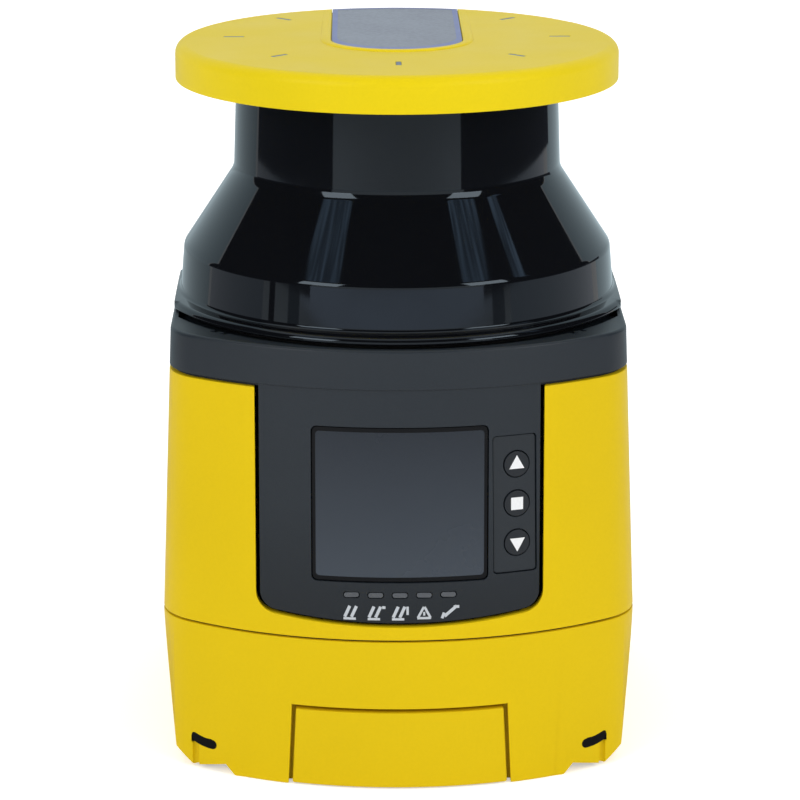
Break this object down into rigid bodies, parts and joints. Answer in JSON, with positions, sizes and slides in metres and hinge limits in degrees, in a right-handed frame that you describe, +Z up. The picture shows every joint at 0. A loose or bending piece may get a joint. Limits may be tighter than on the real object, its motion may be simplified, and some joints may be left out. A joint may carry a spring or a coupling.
{
  "type": "safety laser scanner",
  "caption": "Compact safety laser scanner with a stepped optical window under a round cap, a bowed housing, a display with keys and a slide-out memory module.",
  "frame": {"origin": "centre of the scanner's plan at the height of the foot it stands on; the scan axis is the Z axis", "axes": "+Z up along the scan axis, the display faces -Y, +X is to the right of a person who looks at the display"},
  "size_m": [0.102, 0.1124, 0.152],
  "materials": {
    "housing_yellow": "satin powder coat",
    "cap_yellow": "satin moulded",
    "module_yellow": "satin moulded",
    "insert_grey": "satin moulded",
    "window_black": "polished infrared filter",
    "seal_rubber": "matte",
    "bezel_dark": "satin moulded",
    "display_glass": "polished",
    "display_panel": "satin",
    "keypad_dark": "satin film",
    "key_dark": "satin",
    "lamp_clear": "frosted",
    "inner_black": "matte",
    "board_green": "solder mask",
    "ribbon_grey": "satin",
    "screw_black": "black oxide",
    "steel": "machined",
    "plug_brass": "nickel plated",
    "pin_gold": "gold plated",
    "cast_alloy": "die cast",
    "machined_alloy": "machined",
    "winding_copper": "enamelled winding",
    "lens_glass": "polished",
    "mirror_coat": "polished"
  },
  "bodies": {
    "housing": {"top_cap": "cap_yellow", "cap_underplate": "cap_yellow", "cap_insert": "insert_grey", "cap_screws": "steel", "optical_window": "window_black", "window_seal": "seal_rubber", "rear_column": "bezel_dark", "column_screws": "steel", "front_bezel": "bezel_dark", "bezel_screws": "steel", "display_lens": "display_glass", "lcd_module": "display_panel", "lcd_frame": "inner_black", "display_board": "board_green", "keypad_strip": "keypad_dark", "key_board": "board_green", "status_lamps": "lamp_clear", "upper_housing": "housing_yellow", "housing_gasket": "seal_rubber", "lower_housing": "housing_yellow", "housing_screws": "screw_black", "memory_socket": "inner_black", "interface_board": "board_green", "interface_screws": "steel", "main_board": "board_green", "board_screws": "steel", "board_ribbon": "ribbon_grey", "plug_shells": "plug_brass", "plug_inserts": "inner_black", "plug_pins": "pin_gold", "plug_nuts": "plug_brass", "optics_chassis": "cast_alloy", "chassis_screws": "steel", "lens_barrel": "inner_black", "receiver_lens": "lens_glass", "laser_module": "machined_alloy", "receiver_board": "board_green", "window_sensor_board": "board_green", "window_sensors": "inner_black", "motor_bracket": "machined_alloy", "bracket_screws": "steel", "motor_stator": "winding_copper", "motor_bearings": "steel", "encoder_sensor": "inner_black"},
    "scan_rotor": {"rotor_cup": "steel", "motor_shaft": "steel", "encoder_disc": "steel", "mirror_holder": "inner_black", "scan_mirror": "mirror_coat"},
    "memory_unit": {"memory_module": "module_yellow", "memory_board": "board_green"},
    "up_button": {"key_up": "key_dark"},
    "select_button": {"key_select": "key_dark"},
    "down_button": {"key_down": "key_dark"}
  },
  "joints": [
    {"name": "mirror_spin", "type": "hinge", "parent": "housing", "child": "scan_rotor", "pos_m": [0, 0, 0.14], "axis": [0, 0, 1], "continuous": true},
    {"name": "memory_slide", "type": "slide", "parent": "housing", "child": "memory_unit", "axis": [0, -1, 0], "range_m": [0, 0.028]},
    {"name": "up_press", "type": "slide", "parent": "housing", "child": "up_button", "axis": [-0.3305, 0.9438, 0], "range_m": [0, 0.0006], "stiffness_N_per_m": 400},
    {"name": "select_press", "type": "slide", "parent": "housing", "child": "select_button", "axis": [-0.3305, 0.9438, 0], "range_m": [0, 0.0006], "stiffness_N_per_m": 400},
    {"name": "down_press", "type": "slide", "parent": "housing", "child": "down_button", "axis": [-0.3305, 0.9438, 0], "range_m": [0, 0.0006], "stiffness_N_per_m": 400}
  ]
}
